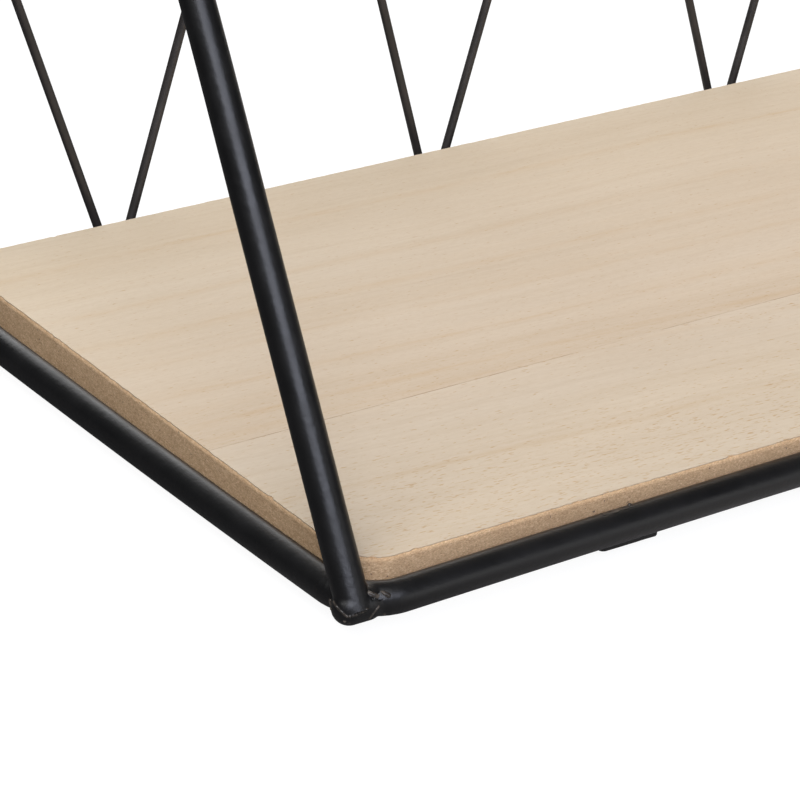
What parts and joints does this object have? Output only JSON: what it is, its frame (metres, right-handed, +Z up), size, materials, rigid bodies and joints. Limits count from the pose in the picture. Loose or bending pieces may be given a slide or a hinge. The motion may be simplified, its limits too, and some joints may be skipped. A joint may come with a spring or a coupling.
{
  "type": "desk hutch",
  "caption": "Desktop shelf hutch with veneered boards in a black rod frame and a zigzag wire back.",
  "frame": {"origin": "centre of the footprint on the desk surface", "axes": "+X along the boards, towards the right end; -Y the open front, +Y the wire back; +Z up"},
  "size_m": [0.552, 0.2164, 0.1578],
  "materials": {
    "black_coat": "satin",
    "veneer": "matte",
    "fibreboard": "matte",
    "screw_steel": "satin",
    "rubber": "matte"
  },
  "bodies": {
    "root": {"back_post_left": "black_coat", "back_post_right": "black_coat", "back_zigzag_wire": "black_coat", "front_post_left": "black_coat", "front_post_right": "black_coat", "lower_back_rail": "black_coat", "lower_board_core": "fibreboard", "lower_board_screws": "screw_steel", "lower_board_top_veneer": "veneer", "lower_board_under_veneer": "veneer", "lower_end_left": "black_coat", "lower_end_right": "black_coat", "lower_front_rail": "black_coat", "lower_tab_back_left": "black_coat", "lower_tab_back_right": "black_coat", "lower_tab_front_left": "black_coat", "lower_tab_front_right": "black_coat", "rubber_feet": "rubber", "upper_back_rail": "black_coat", "upper_board_core": "fibreboard", "upper_board_screws": "screw_steel", "upper_board_top_veneer": "veneer", "upper_board_under_veneer": "veneer", "upper_end_left": "black_coat", "upper_end_right": "black_coat", "upper_front_rail": "black_coat", "upper_tab_back_left": "black_coat", "upper_tab_back_right": "black_coat", "upper_tab_front_left": "black_coat", "upper_tab_front_right": "black_coat"}
  },
  "joints": []
}
